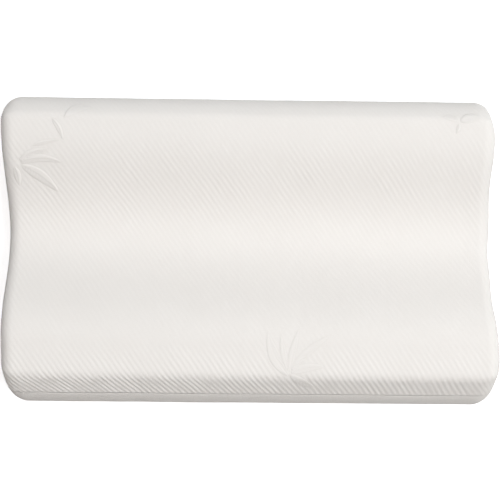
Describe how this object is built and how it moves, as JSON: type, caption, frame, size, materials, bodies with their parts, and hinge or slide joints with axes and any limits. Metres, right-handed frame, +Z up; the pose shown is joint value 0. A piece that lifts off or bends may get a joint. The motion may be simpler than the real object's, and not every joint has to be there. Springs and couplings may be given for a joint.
{
  "type": "contour memory foam pillow",
  "caption": "Contour memory foam pillow with a tall front lobe, a valley for the head and a lower back lobe, in a white ribbed knit cover.",
  "frame": {"origin": "middle of the flat base that the pillow lies on", "axes": "+X along the width, -Y towards the tall lobe, +Y towards the low lobe, +Z up out of the waved top"},
  "size_m": [0.5064, 0.317, 0.1026],
  "materials": {
    "knitted_cover": "soft matt knit with fine diagonal ribs"
  },
  "bodies": {
    "root": {"pillow": "knitted_cover"}
  },
  "joints": []
}
